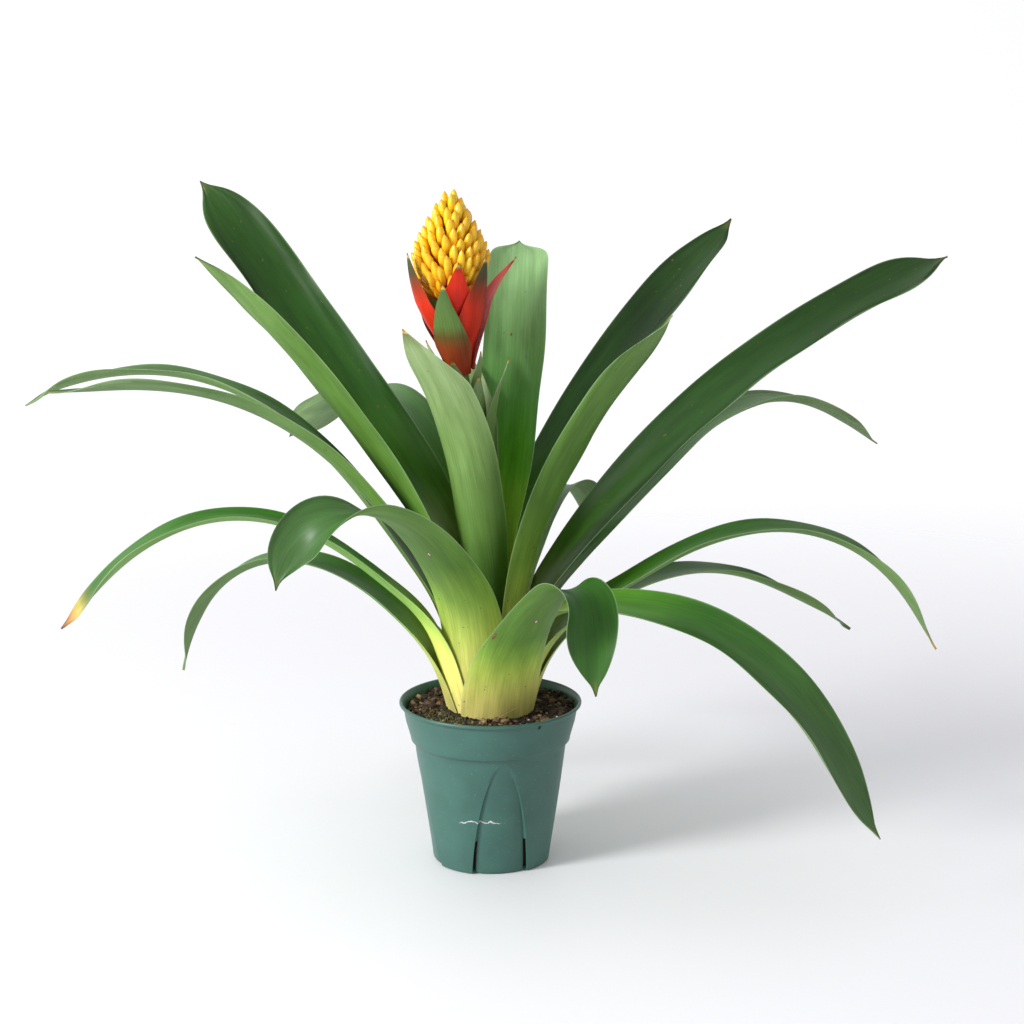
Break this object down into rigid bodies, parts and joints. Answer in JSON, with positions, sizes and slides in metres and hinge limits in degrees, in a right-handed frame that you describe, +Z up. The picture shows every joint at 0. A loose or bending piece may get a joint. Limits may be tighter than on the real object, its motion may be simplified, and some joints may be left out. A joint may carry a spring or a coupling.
{
  "type": "potted bromeliad",
  "caption": "Flowering bromeliad with arching strap leaves and an upright cone of yellow florets over red bracts, in a round plastic nursery pot.",
  "frame": {"origin": "middle of the pot's flat underside, on the floor", "axes": "+Z up the pot's axis; -Y is the front, towards the viewer; +X to the viewer's right, along which the leaves spread widest"},
  "size_m": [0.7763, 0.4403, 0.56],
  "materials": {
    "leaf_green": "smooth waxy leaf, satin",
    "bract_green": "dull waxy leaf",
    "bract_red": "smooth waxy leaf, satin",
    "floret_yellow": "smooth and glossy, waxy",
    "flower_stem_green": "matt plant stem",
    "stem_cream": "fibrous, matt",
    "pot_green": "moulded, slightly glossy",
    "potting_mix_brown": "damp crumbs of bark and peat"
  },
  "bodies": {
    "root": {"nursery_pot": "pot_green", "potting_mix": "potting_mix_brown", "crown_stem": "stem_cream", "flower_stem": "flower_stem_green", "flower_head": "floret_yellow", "leaf_01_front": "leaf_green", "leaf_02_low_back": "leaf_green", "leaf_03_low_left": "leaf_green", "leaf_04_low_right": "leaf_green", "leaf_05_left": "leaf_green", "leaf_06_right": "leaf_green", "leaf_07_front_left": "leaf_green", "leaf_08_low_back": "leaf_green", "leaf_09_front_right": "leaf_green", "leaf_10_low_back": "leaf_green", "leaf_11_mid_left": "leaf_green", "leaf_12_mid_right": "leaf_green", "leaf_13_mid_left": "leaf_green", "leaf_14_long_right": "leaf_green", "leaf_15_high_left": "leaf_green", "leaf_16_back_right": "leaf_green", "leaf_17_steep_right": "leaf_green", "leaf_18_back_left": "leaf_green", "leaf_19_tall_left": "leaf_green", "leaf_20_tall_right": "leaf_green", "leaf_21_tall_back": "leaf_green", "stem_bract_1_large": "bract_green", "stem_bract_2_back": "bract_green", "stem_bract_3_right": "bract_green", "stem_bract_4_back_left": "bract_green", "stem_bract_5_front": "bract_green", "stem_bract_6_front_right": "bract_green", "stem_bract_7_left": "bract_green", "stem_bract_8_back": "bract_green", "stem_bract_9_dark_right": "bract_green", "collar_bract_1_front": "bract_red", "collar_bract_2_back_left": "bract_red", "collar_bract_3_right": "bract_red", "collar_bract_4_front_right": "bract_red", "collar_bract_5_left": "bract_red", "collar_bract_6_back": "bract_red", "collar_bract_7_inner_front": "bract_red", "collar_bract_8_inner_left": "bract_red", "collar_bract_9_inner_back": "bract_red"}
  },
  "joints": []
}
